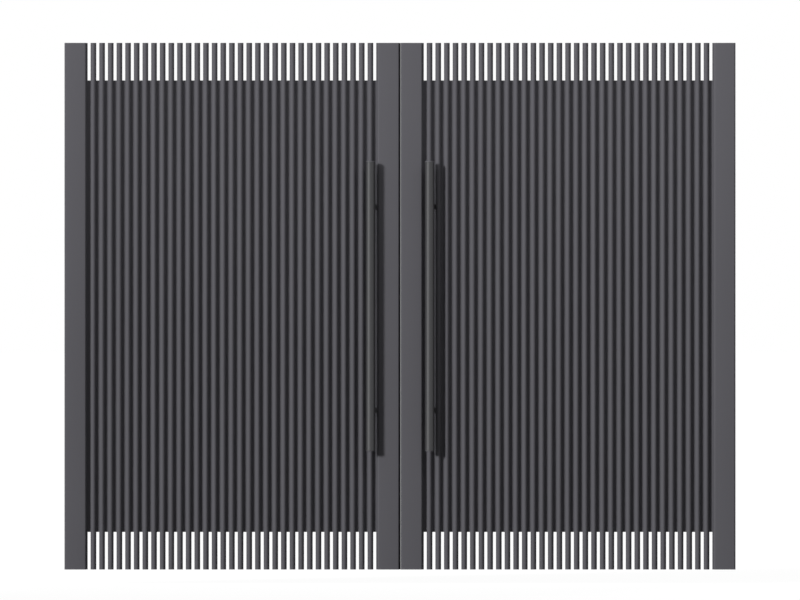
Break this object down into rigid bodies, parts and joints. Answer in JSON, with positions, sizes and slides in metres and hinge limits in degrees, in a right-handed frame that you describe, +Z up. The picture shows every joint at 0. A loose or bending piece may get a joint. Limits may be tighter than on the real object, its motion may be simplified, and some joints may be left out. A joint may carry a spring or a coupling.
{
  "type": "double leaf swing gate",
  "caption": "Pair of swing gate leaves with vertical half oval slats on a sheet, open strips at top and bottom, pull handles at the seam, and hidden hinges that bolt to piers.",
  "frame": {"origin": "on the back of the lower left hinge's fixed plate, between its four bolts, where it meets the pier", "axes": "+Z up, +X across the gate from the left leaf to the right one, +Y into the piers, away from the side that the leaves open to"},
  "size_m": [2.325, 0.134, 1.825],
  "materials": {
    "coated_aluminium": "anthracite powder coat, fine and satin",
    "handle_coat": "dark grey coat, satin",
    "cap_plastic": "moulded in the colour of the coat",
    "hinge_steel": "anthracite powder coat on steel",
    "pin_steel": "turned stainless steel",
    "seal_rubber": "black, matt"
  },
  "bodies": {
    "hinge_fixings": {"left_lower_hinge_fixed_plate": "hinge_steel", "left_upper_hinge_fixed_plate": "hinge_steel", "left_lower_hinge_pin": "pin_steel", "left_upper_hinge_pin": "pin_steel", "right_lower_hinge_fixed_plate": "hinge_steel", "right_upper_hinge_fixed_plate": "hinge_steel", "right_lower_hinge_pin": "pin_steel", "right_upper_hinge_pin": "pin_steel"},
    "left_leaf": {"left_meeting_stile": "coated_aluminium", "left_hinge_stile": "coated_aluminium", "left_top_caps": "cap_plastic", "left_bottom_caps": "cap_plastic", "left_sheet": "coated_aluminium", "left_slats": "coated_aluminium", "left_handle": "handle_coat", "left_handle_plugs": "cap_plastic", "left_bottom_rail": "coated_aluminium", "left_lower_rail": "coated_aluminium", "left_upper_rail": "coated_aluminium", "left_top_rail": "coated_aluminium", "left_lower_hinge_moving_plate": "hinge_steel", "left_upper_hinge_moving_plate": "hinge_steel", "seam_seal": "seal_rubber"},
    "right_leaf": {"right_meeting_stile": "coated_aluminium", "right_hinge_stile": "coated_aluminium", "right_top_caps": "cap_plastic", "right_bottom_caps": "cap_plastic", "right_sheet": "coated_aluminium", "right_slats": "coated_aluminium", "right_handle": "handle_coat", "right_handle_plugs": "cap_plastic", "right_bottom_rail": "coated_aluminium", "right_lower_rail": "coated_aluminium", "right_upper_rail": "coated_aluminium", "right_top_rail": "coated_aluminium", "right_lower_hinge_moving_plate": "hinge_steel", "right_upper_hinge_moving_plate": "hinge_steel"}
  },
  "joints": [
    {"name": "left_leaf_hinge", "type": "hinge", "parent": "hinge_fixings", "child": "left_leaf", "pos_m": [-0.038, -0.016, 0], "axis": [0, 0, -1], "range_deg": [0, 90]},
    {"name": "right_leaf_hinge", "type": "hinge", "parent": "hinge_fixings", "child": "right_leaf", "pos_m": [2.267, -0.016, 0], "axis": [0, 0, 1], "range_deg": [0, 90]}
  ]
}
